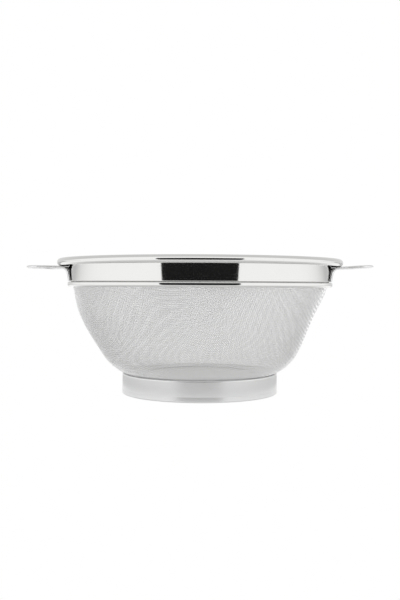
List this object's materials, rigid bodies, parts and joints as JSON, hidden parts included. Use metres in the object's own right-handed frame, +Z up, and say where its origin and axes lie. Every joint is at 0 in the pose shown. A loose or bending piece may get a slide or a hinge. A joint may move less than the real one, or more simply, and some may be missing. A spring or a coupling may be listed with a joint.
{
  "type": "double sieve strainer",
  "caption": "Footed round strainer: rolled rim, polished band, stamped ears, and a bowl of coarse and fine woven wire cloth on a sheet-metal foot.",
  "frame": {"origin": "centre of the foot, on the surface it stands on", "axes": "+Z up along the bowl's axis, +X through the middle of the right ear"},
  "size_m": [0.2912, 0.24, 0.1126],
  "materials": {
    "polished_sheet": "mirror-polished stainless steel",
    "satin_sheet": "satin stainless steel",
    "ear_plate": "fine-polished stamped stainless steel",
    "coarse_cloth": "plain-woven bright stainless wire",
    "fine_cloth": "plain-woven fine stainless wire",
    "drawn_wire": "drawn steel wire",
    "weld": "resistance-weld nugget"
  },
  "bodies": {
    "root": {"rim_band": "polished_sheet", "clamp_ring": "polished_sheet", "rim_core_wire": "drawn_wire", "inner_collar": "satin_sheet", "outer_mesh_bowl": "coarse_cloth", "inner_mesh_bowl": "fine_cloth", "foot_ring": "satin_sheet", "foot_retaining_ring": "satin_sheet", "left_handle": "ear_plate", "right_handle": "ear_plate", "left_handle_welds": "weld", "right_handle_welds": "weld", "collar_welds": "weld", "foot_welds": "weld"}
  },
  "joints": []
}
